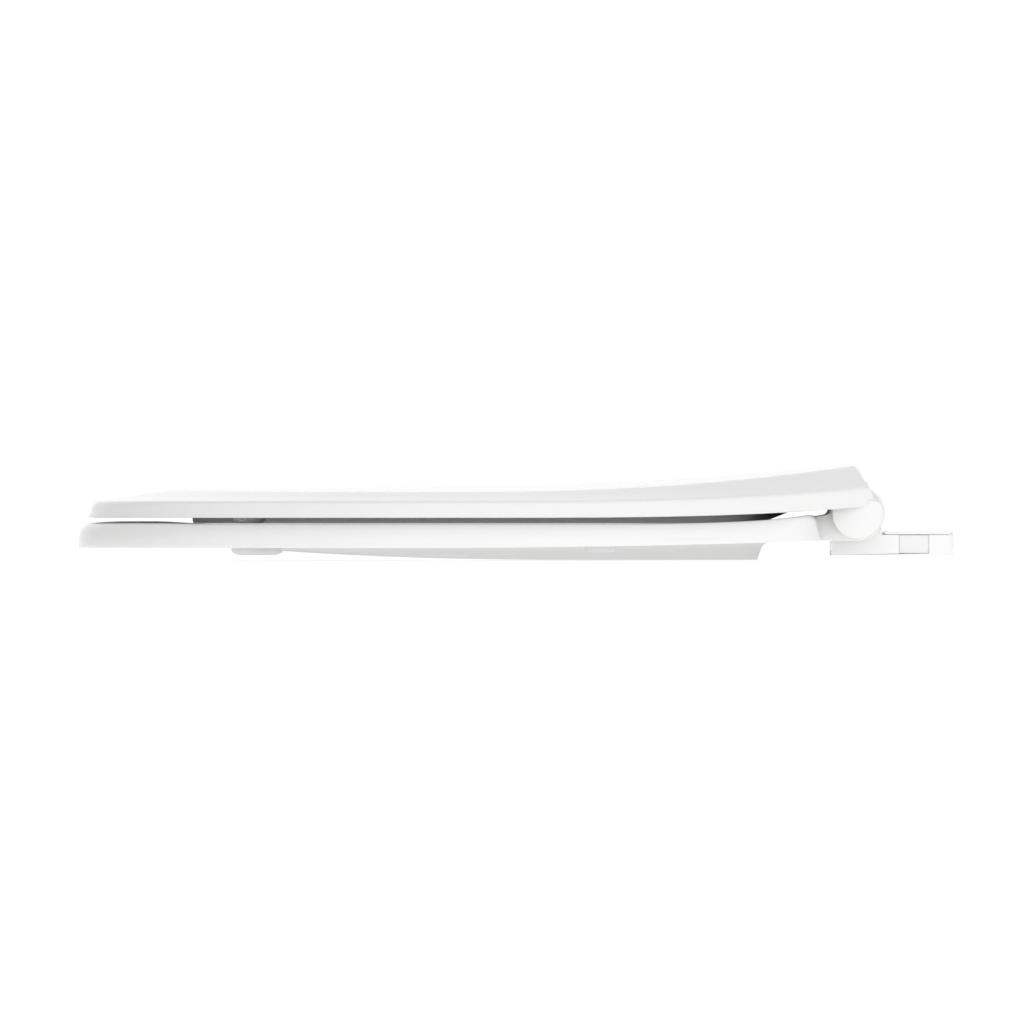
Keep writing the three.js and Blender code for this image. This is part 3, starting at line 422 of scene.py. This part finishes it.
def make_liner():
    """The panel inside the lid: a flat border, and a plateau that hangs into the seat's opening."""
    rim = {**LID_FOOT, "rear": LINER_REAR, "corner": LINER_CORNER}
    plateau_rear = PLATEAU_TAIL[2] + PLATEAU_MARGIN - 1.5
    plan = {**OPENING, "front": PLATEAU_FRONT, "rear": plateau_rear, "corner": PLATEAU_CORNER}
    outer = outline(rim, LID_WALL + LINER_GAP)
    edge = outline(plan, PLATEAU_MARGIN)
    spine = spine_of(edge)
    inward = (spine - edge) / np.linalg.norm(spine - edge, axis=1)[:, None]
    below, above = [], []

    def low(points):
        return lid_bottom(points[:, 1]) + LINER_LIFT

    def under(points):
        return np.minimum(plateau_underside(points[:, 1]), low(points) - 0.01)

    # The plateau's underside, its rounded lower edge and the bend into the border.
    for share in (1, 0.7, 0.4, 0.15):
        points = edge + (spine - edge) * share
        below.append((points, under(points)))
    for distance, lift in ((2.2, 0.0), (1.4, 0.1), (0.8, 0.45), (0.6, 1.0)):
        points = edge + inward * distance
        depth = low(points) - under(points)
        below.append((points, under(points) + lift * np.minimum(1, depth / 3)))
    for distance, drop in ((0.35, 0.8), (0.1, 0.5), (-0.4, 0.12), (-1.0, 0.0)):
        points = edge + inward * distance
        depth = low(points) - under(points)
        below.append((points, low(points) - np.minimum(depth, drop * np.minimum(1, depth))))
    # The border, and back over the top.
    for share in (0.9, 0.6, 0.3, 0.01):
        points = outer + (edge - outer) * share
        below.append((points, low(points)))
    below.append((outer, low(outer) + 0.4))
    above.append((outer, low(outer) + LINER))
    for distance in (1.2, 3.4):
        points = edge + inward * distance
        above.append((points, low(points) + LINER))
    for share in (0.2, 0.6, 1):
        points = edge + (spine - edge) * share
        above.append((points, under(points) + LINER))
    rows = [np.column_stack([points, height]) for points, height in below + above]
    liner = loft("lid_liner_skin", np.stack(rows, 1), close_profile=False)
    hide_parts("lid_inner_panel")
    # Its material is a darker grey than its white slot: painted shade for the gap under the lid.
    return finish_piece(liner, "lid", "satin_white", "liner_painted_shade")


# ------------------------------------------------------------------ seat
def seat_surface(y, share):
    """Height of the ring's top at a share of the way from its outer edge to the opening."""
    nose = smooth(-y, -SEAT_CROWN_Y[0], -SEAT_CROWN_Y[1])
    crown = SEAT_CROWN * np.sin(math.pi * np.minimum(1, share * 1.15)) * nose
    return seat_top(y) + crown - SEAT_DISH * share * share * (1 - nose)


def make_ring():
    """The seat's ring: a shell that is open below."""
    outer = outline(SEAT)
    start = np.array([0.0, OPENING["widest"]])
    inner = crossings(outline(OPENING), outer, start)
    width = np.linalg.norm(inner - outer, axis=1)
    rows = []

    def add(distance, height_of, drop=0.0):
        share = distance / width
        plan = outer + (inner - outer) * share[:, None]
        y = plan[:, 1]
        height = height_of(y, share) - drop
        lean, lean_from, lean_to = SEAT_REAR_LEAN
        up = (height - seat_bottom(y)) / (seat_top(y) - seat_bottom(y))
        back = y - lean * smooth(y, lean_from, lean_to) * np.clip(up, 0, 1)
        rows.append(np.column_stack([plan[:, 0], back, height]))

    def constant(value):
        return np.full(len(outer), float(value))

    def bottom(y, share):
        return seat_bottom(y)

    def ledge(y, share):
        return seat_bottom(y) + RING_LEDGE

    def roof(y, share):
        return seat_surface(y, share) - SEAT_WALL

    # Up the outer wall, over its rounded top edge and across the top.
    add(constant(0.5), bottom)
    add(constant(0.12), bottom, -0.15)
    add(constant(0), bottom, -0.5)
    for lift in (2, 3.2):
        add(constant(0), bottom, -lift)
    least, rear_from, rear_to = SEAT_REAR_EDGE
    size = 1 - (1 - least) * smooth(outer[:, 1], rear_from, rear_to)
    across, down = SEAT_EDGE[0] * size, SEAT_EDGE[1] * size
    for angle in np.radians(np.linspace(0, 90, 13)):
        add(across * (1 - math.cos(angle)), seat_surface, down * (1 - math.sin(angle)))
    for share in (0.14, 0.22, 0.32, 0.44, 0.56, 0.68, 0.78, 0.86):
        add(across + (width - across - SEAT_INNER_EDGE) * share, seat_surface)
    # Round the edge of the opening, down to the ledge and back inside the shell.
    for angle in np.radians(np.linspace(90, 0, 9)):
        drop = SEAT_INNER_EDGE * (1 - math.sin(angle))
        add(width - SEAT_INNER_EDGE * (1 - math.cos(angle)), seat_surface, drop)
    add(width, ledge, -0.3)
    add(width - 0.3, ledge)
    add(width - SEAT_WALL, ledge)
    add(width - SEAT_WALL, roof, 2)
    for share in (0.75, 0.5, 0.25):
        add(width * share, roof)
    add(constant(SEAT_WALL + 3), roof, 3)
    add(constant(SEAT_WALL), bottom, -3)
    add(constant(SEAT_WALL), bottom)
    ring = loft("seat_ring_skin", np.stack(rows, 1), close_profile=True)
    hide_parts("seat_top")
    return finish_piece(ring, "seat", "gloss_white")


def make_arms():
    """The two arms that run back from the ring to the hinge barrels."""
    under = AXIS_Z - BARREL["radius"]
    head = arc((AXIS_Y, AXIS_Z), BARREL["radius"], -90, 168, 64)
    neck = arc((-51.2, 26.2), 3.6, 10, -85, 8)
    loop = np.concatenate([[(ARM_FRONT, under)], head, neck, [(ARM_FRONT, ARM_TOP)]])
    hole = arc((AXIS_Y, AXIS_Z), PIN_HOLE, 0, 360, 40)[:-1]
    right = side_profile("seat_arm_right", [loop, hole], BARREL["inner"], BARREL["outer"], edge=0.5)
    return [finish_piece(arm, "seat", "gloss_white") for arm in (right, mirrored(right, "seat_arm_left"))]


def make_underside():
    """The plate that closes the ring from below, with the splash skirt round the opening."""
    outer = outline(SEAT, SEAT_WALL + PLATE_LIFT, count=2 * STATIONS)
    start = np.array([0.0, OPENING["widest"]])
    inner = crossings(outline(OPENING, count=2 * STATIONS), outer, start)
    inward = (inner - outer) / np.linalg.norm(inner - outer, axis=1)[:, None]
    rows = []

    def add(points, height):
        rows.append(np.column_stack([points, height]))

    def notch(points):
        """1 where the skirt is cut away for the nozzle at the back."""
        return (1 - smooth(np.abs(points[:, 0]), *NOZZLE_ARCH)) * (points[:, 1] > -200)

    def top(points):
        return seat_bottom(points[:, 1]) + PLATE_LIFT + BASE_PLATE

    def bottom(points):
        """The plate's lower face, a little higher over the nozzle's path."""
        return top(points) - BASE_PLATE + NOZZLE_ROOM * notch(points)

    def depth(points):
        drop = bottom(points) - skirt_bottom(points[:, 1])
        return np.maximum(0.05, drop * (1 - notch(points)))

    # The flat lower face, and the fillet into the skirt.
    add(outer, top(outer))
    add(outer, bottom(outer))
    for share in (0.02, 0.3, 0.6, 0.8):
        points = outer + (inner - outer) * share
        add(points, bottom(points))
    for angle in np.radians((0, 20, 40, 60, 75, 90)):
        points = inner - inward * (SKIRT_WALL + SKIRT_FILLET * (1 - math.sin(angle)))
        size = np.minimum(1, depth(inner) / SKIRT_FILLET)
        add(points, bottom(inner) - SKIRT_FILLET * size * (1 - math.cos(angle)) * 0.7)
    # Round the skirt's lower edge, which leans into the opening, and up to the ring.
    for distance, lift in ((0.6, 0.9), (0.5, 0.35), (0.2, 0.0), (-0.5, 0.0), (-0.8, 0.3)):
        points = inner - inward * distance
        add(points, bottom(inner) - depth(inner) + lift * np.minimum(1, depth(inner)))
    add(inner, bottom(inner) - depth(inner) + np.minimum(0.9, depth(inner)))
    add(inner, top(inner))
    plate = loft("seat_underside_skin", np.stack(rows, 1), close_profile=True)
    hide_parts("seat_base")
    return finish_piece(plate, "seat", "satin_white")


# ------------------------------------------------------------------ rubber bumpers
# Pairs of a share of a bumper's height, counted down from its top, and its share of the full width there.
BUMPER_PROFILE = [(0.0, 0.0), (0.0, 1.0), (0.3, 1.0), (0.5, 0.985), (0.68, 0.93), (0.82, 0.85), (0.93, 0.78),
                  (0.985, 0.73), (1.0, 0.68), (1.0, 0.4), (1.0, 0.0)]


def make_bumper(node):
    """A long foot with round ends that narrows downwards, in the place of its CAD node."""
    low, high = (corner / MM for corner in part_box(node))
    middle = (low + high) / 2
    half_x, half_y, height = (high.x - low.x) / 2, (high.y - low.y) / 2, high.z - low.z
    angles = np.linspace(0, 2 * math.pi, 48, endpoint=False)
    across = np.cos(angles)
    along = np.sign(np.sin(angles)) * np.abs(np.sin(angles)) ** 0.62
    rings = []
    for down, share in BUMPER_PROFILE:
        level = np.full(len(angles), high.z - height * down)
        x, y = middle.x + half_x * share * across, middle.y + half_y * share * along
        rings.append(np.column_stack([x, y, level]))
    bumper = loft(node + "_skin", np.stack(rings, 1), close_profile=False)
    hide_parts(node)
    body = "lid" if node.startswith("lid") else "seat"
    return finish_piece(bumper, body, "bumper_rubber")


# ------------------------------------------------------------------ materials
def node_of(tree, kind, **inputs):
    """A new shader node with these input values or settings."""
    made = tree.nodes.new(kind)
    for name, value in inputs.items():
        if name in made.inputs:
            made.inputs[name].default_value = value
        else:
            setattr(made, name, value)
    return made


def surface(name, color, roughness, metallic=0.0, tint=0.02, wear=0.06, grain=900, bump=0.02, ior=1.49,
            subsurface=0.0):
    """A moulded or metal surface: slight colour drift, uneven polish and a fine relief."""
    material = bpy.data.materials.new(name)
    material.use_nodes = True
    tree = material.node_tree
    shader = tree.nodes["Principled BSDF"]
    shader.inputs["Metallic"].default_value = metallic
    shader.inputs["IOR"].default_value = ior
    shader.inputs["Subsurface Weight"].default_value = subsurface
    shader.inputs["Subsurface Radius"].default_value = (0.004, 0.004, 0.0035)
    place = node_of(tree, "ShaderNodeTexCoord")
    drift = node_of(tree, "ShaderNodeTexNoise", Scale=14.0, Detail=3.0)
    polish = node_of(tree, "ShaderNodeTexNoise", Scale=55.0, Detail=4.0)
    fine = node_of(tree, "ShaderNodeTexNoise", Scale=float(grain), Detail=2.0)
    for texture in (drift, polish, fine):
        tree.links.new(place.outputs["Object"], texture.inputs["Vector"])
    shade = node_of(tree, "ShaderNodeValToRGB")
    shade.color_ramp.elements[0].color = (*[c * (1 - tint) for c in color], 1)
    shade.color_ramp.elements[1].color = (*color, 1)
    shade.color_ramp.elements[0].position = 0.35
    shade.color_ramp.elements[1].position = 0.65
    tree.links.new(drift.outputs["Fac"], shade.inputs["Fac"])
    tree.links.new(shade.outputs["Color"], shader.inputs["Base Color"])
    rough = node_of(tree, "ShaderNodeMapRange")
    rough.inputs["To Min"].default_value = roughness
    rough.inputs["To Max"].default_value = roughness + wear
    tree.links.new(polish.outputs["Fac"], rough.inputs["Value"])
    tree.links.new(rough.outputs["Result"], shader.inputs["Roughness"])
    relief = node_of(tree, "ShaderNodeBump", Strength=bump, Distance=0.0004)
    tree.links.new(fine.outputs["Fac"], relief.inputs["Height"])
    tree.links.new(relief.outputs["Normal"], shader.inputs["Normal"])
    return material


MATERIALS = {
    "gloss_white": surface(
        "gloss_white", (0.9, 0.9, 0.895), 0.16, tint=0.012, wear=0.05, grain=300, bump=0.008,
        subsurface=0.05),
    "satin_white": surface(
        "satin_white", (0.86, 0.86, 0.855), 0.34, tint=0.02, wear=0.08, grain=2400, bump=0.12),
    # The liner is white plastic; this darker grey is painted shade, standing for the shade that falls in the
    # gap between lid and seat.
    "liner_painted_shade": surface(
        "liner_painted_shade", (0.65, 0.65, 0.645), 0.42, tint=0.02, wear=0.08, grain=2400, bump=0.1, ior=1.35),
    "bumper_rubber": surface(
        "bumper_rubber", (0.78, 0.79, 0.8), 0.5, tint=0.06, wear=0.15, grain=1800, bump=0.2,
        subsurface=0.15),
    "steel": surface(
        "steel", (0.6, 0.61, 0.62), 0.25, metallic=1.0, tint=0.08, wear=0.12, grain=1500, bump=0.08),
    "nozzle_steel": surface(
        "nozzle_steel", (0.72, 0.73, 0.74), 0.12, metallic=1.0, tint=0.04, wear=0.08, grain=1500,
        bump=0.04),
    "foil": surface(
        "foil", (0.7, 0.71, 0.73), 0.3, metallic=1.0, tint=0.08, wear=0.2, grain=500, bump=0.5),
    "dark_plastic": surface(
        "dark_plastic", (0.05, 0.052, 0.055), 0.4, tint=0.15, wear=0.12, grain=2600, bump=0.2),
    "board": surface(
        "board", (0.05, 0.2, 0.1), 0.35, tint=0.2, wear=0.1, grain=1200, bump=0.15),
    "hose": surface(
        "hose", (0.75, 0.78, 0.79), 0.35, tint=0.05, wear=0.1, grain=900, bump=0.08, subsurface=0.3),
}


def finish_piece(piece, body, slot_name, material=None):
    """Gives a new piece its material, which is the slot's own unless another is named, and its body."""
    piece.data.materials.clear()
    piece.data.materials.append(MATERIALS[material or slot_name])
    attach(piece, body)
    return piece


# ------------------------------------------------------------------ release buttons and their springs
def make_release_button(side):
    """The CAD button, fitting its pocket with a finer gap all round."""
    node = f"release_button_{side}"
    low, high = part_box(node)
    middle = (low + high) / 2
    grown = [1 + 2 * FINER_GAP * MM / (high[axis] - low[axis]) for axis in (1, 2)]
    mesh = frame["nodes"][node].data.copy()
    for vertex in mesh.vertices:
        vertex.co.y = middle.y + (vertex.co.y - middle.y) * grown[0]
        vertex.co.z = middle.z + (vertex.co.z - middle.z) * grown[1]
    button = bpy.data.objects.new(node + "_skin", mesh)
    bpy.context.scene.collection.objects.link(button)
    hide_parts(node)
    soften(finish_piece(button, node, "satin_white"), SOFT_EDGES["release_button"])


def make_release_spring(side):
    """The CAD coil again, smooth shaded, in steel, on the base."""
    node = f"release_spring_{side}"
    mesh = frame["nodes"][node].data.copy()
    mesh.shade_smooth()
    spring = bpy.data.objects.new(node + "_coil", mesh)
    bpy.context.scene.collection.objects.link(spring)
    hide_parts(node)
    finish_piece(spring, "base", "steel")
    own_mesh(spring)


# ------------------------------------------------------------------ kept CAD pieces
SOFT_EDGES = {
    "hinge_bracket": 0.3, "bolt_cover": 0.35, "release_button": 0.25, "unit_cover": 0.6, "unit_base": 0.3,
    "power_button": 0.45, "wash_button": 0.45, "deck_pad": 0.2,
}
OTHER_EDGES = 0.15


def soften(piece, width):
    """Smooth shading, and bevelled edges of this width in millimetres."""
    piece.data.shade_smooth()
    piece.data.set_sharp_from_angle(angle=math.radians(30))
    flat = piece.modifiers.new("flat faces", "DECIMATE")
    flat.decimate_type = "DISSOLVE"
    flat.angle_limit = math.radians(2)
    edges = piece.modifiers.new("soft edges", "BEVEL")
    edges.width = width * MM
    edges.segments = 3
    edges.limit_method = "ANGLE"
    edges.angle_limit = math.radians(35)
    edges.harden_normals = True


def dress_cad_nodes():
    """Gives every kept CAD piece its material, smooth shading and softened edges."""
    slots = {part["node"]: part["material_slot"] for part in frame["record"]["subparts"]}
    for node, piece in frame["nodes"].items():
        if piece.hide_render:
            continue
        piece.data.materials.clear()
        piece.data.materials.append(MATERIALS[slots[node]])
        widths = [width for stem, width in SOFT_EDGES.items() if node.startswith(stem)]
        soften(piece, widths[0] if widths else OTHER_EDGES)


# ------------------------------------------------------------------ stage, light and camera
def make_stage():
    """A pale paper floor that gives back a little light."""
    mesh = bpy.data.meshes.new("floor")
    size, low = FLOOR_HALF, cad_box[0].z - FLOOR_DROP
    corners = [(-size, -size, low), (size, -size, low), (size, size, low), (-size, size, low)]
    mesh.from_pydata(corners, [], [(0, 1, 2, 3)])
    floor = bpy.data.objects.new("floor", mesh)
    bpy.context.scene.collection.objects.link(floor)
    paper = surface("floor", (0.9, 0.9, 0.9), 0.6, tint=0.005, bump=0.0)
    shader = paper.node_tree.nodes["Principled BSDF"]
    shader.inputs["Emission Color"].default_value = (1, 1, 1, 1)
    shader.inputs["Emission Strength"].default_value = FLOOR_GLOW
    floor.data.materials.append(paper)


def make_world():
    """A white studio: pure white to the camera, and a soft tent of light for everything else."""
    world = bpy.data.worlds.new("studio")
    bpy.context.scene.world = world
    world.use_nodes = True
    tree = world.node_tree
    tree.nodes.clear()
    out = tree.nodes.new("ShaderNodeOutputWorld")
    seen = node_of(tree, "ShaderNodeBackground", Color=(1, 1, 1, 1), Strength=1.05)
    tent = node_of(tree, "ShaderNodeBackground", Color=(1, 1, 1, 1))
    path = tree.nodes.new("ShaderNodeLightPath")
    mix = tree.nodes.new("ShaderNodeMixShader")
    place = tree.nodes.new("ShaderNodeTexCoord")
    lean = node_of(tree, "ShaderNodeVectorMath", operation="DOT_PRODUCT")
    lean.inputs[1].default_value = TENT_LEAN
    across = node_of(tree, "ShaderNodeSeparateXYZ")
    square = node_of(tree, "ShaderNodeMath", operation="MULTIPLY")
    sides = node_of(tree, "ShaderNodeMath", operation="MULTIPLY_ADD")
    sides.inputs[1].default_value = TENT_SIDES
    sides.inputs[2].default_value = TENT_LEVEL
    front = node_of(tree, "ShaderNodeMath", operation="MINIMUM")
    front.inputs[1].default_value = 0
    dimmed = node_of(tree, "ShaderNodeMath", operation="MULTIPLY_ADD")
    dimmed.inputs[1].default_value = TENT_FRONT
    total = node_of(tree, "ShaderNodeMath", operation="ADD")
    link = tree.links.new
    link(place.outputs["Generated"], lean.inputs[0])
    link(place.outputs["Generated"], across.inputs[0])
    link(across.outputs["X"], square.inputs[0])
    link(across.outputs["X"], square.inputs[1])
    link(square.outputs[0], sides.inputs[0])
    link(across.outputs["Y"], front.inputs[0])
    link(front.outputs[0], dimmed.inputs[0])
    link(sides.outputs[0], dimmed.inputs[2])
    link(dimmed.outputs[0], total.inputs[0])
    link(lean.outputs["Value"], total.inputs[1])
    link(total.outputs[0], tent.inputs["Strength"])
    link(path.outputs["Is Camera Ray"], mix.inputs["Fac"])
    link(tent.outputs[0], mix.inputs[1])
    link(seen.outputs[0], mix.inputs[2])
    link(mix.outputs[0], out.inputs["Surface"])


def make_camera():
    """Level, looking square across the seat, from far enough away to look almost without perspective."""
    camera = bpy.data.cameras.new("camera")
    camera.sensor_width = SENSOR
    camera.lens = LENS
    camera.clip_start = 1
    camera.clip_end = 100
    middle_x, middle_y, middle_z = FRAME_AT
    made = bpy.data.objects.new("camera", camera)
    made.location = (middle_x + FRAME_WIDTH * LENS / SENSOR, middle_y, middle_z)
    made.rotation_euler = (math.pi / 2, 0, math.pi / 2)
    bpy.context.scene.collection.objects.link(made)
    bpy.context.scene.camera = made


# ------------------------------------------------------------------ everything
bpy.context.scene.view_settings.view_transform = "Standard"
make_camera()
make_lid()
make_liner()
make_ring()
make_arms()
make_underside()
for stem in ("seat_bumper_front", "seat_bumper_rear", "lid_bumper"):
    for side in ("left", "right"):
        make_bumper(f"{stem}_{side}")
for side in ("left", "right"):
    make_release_button(side)
    make_release_spring(side)
dress_cad_nodes()
make_stage()
make_world()
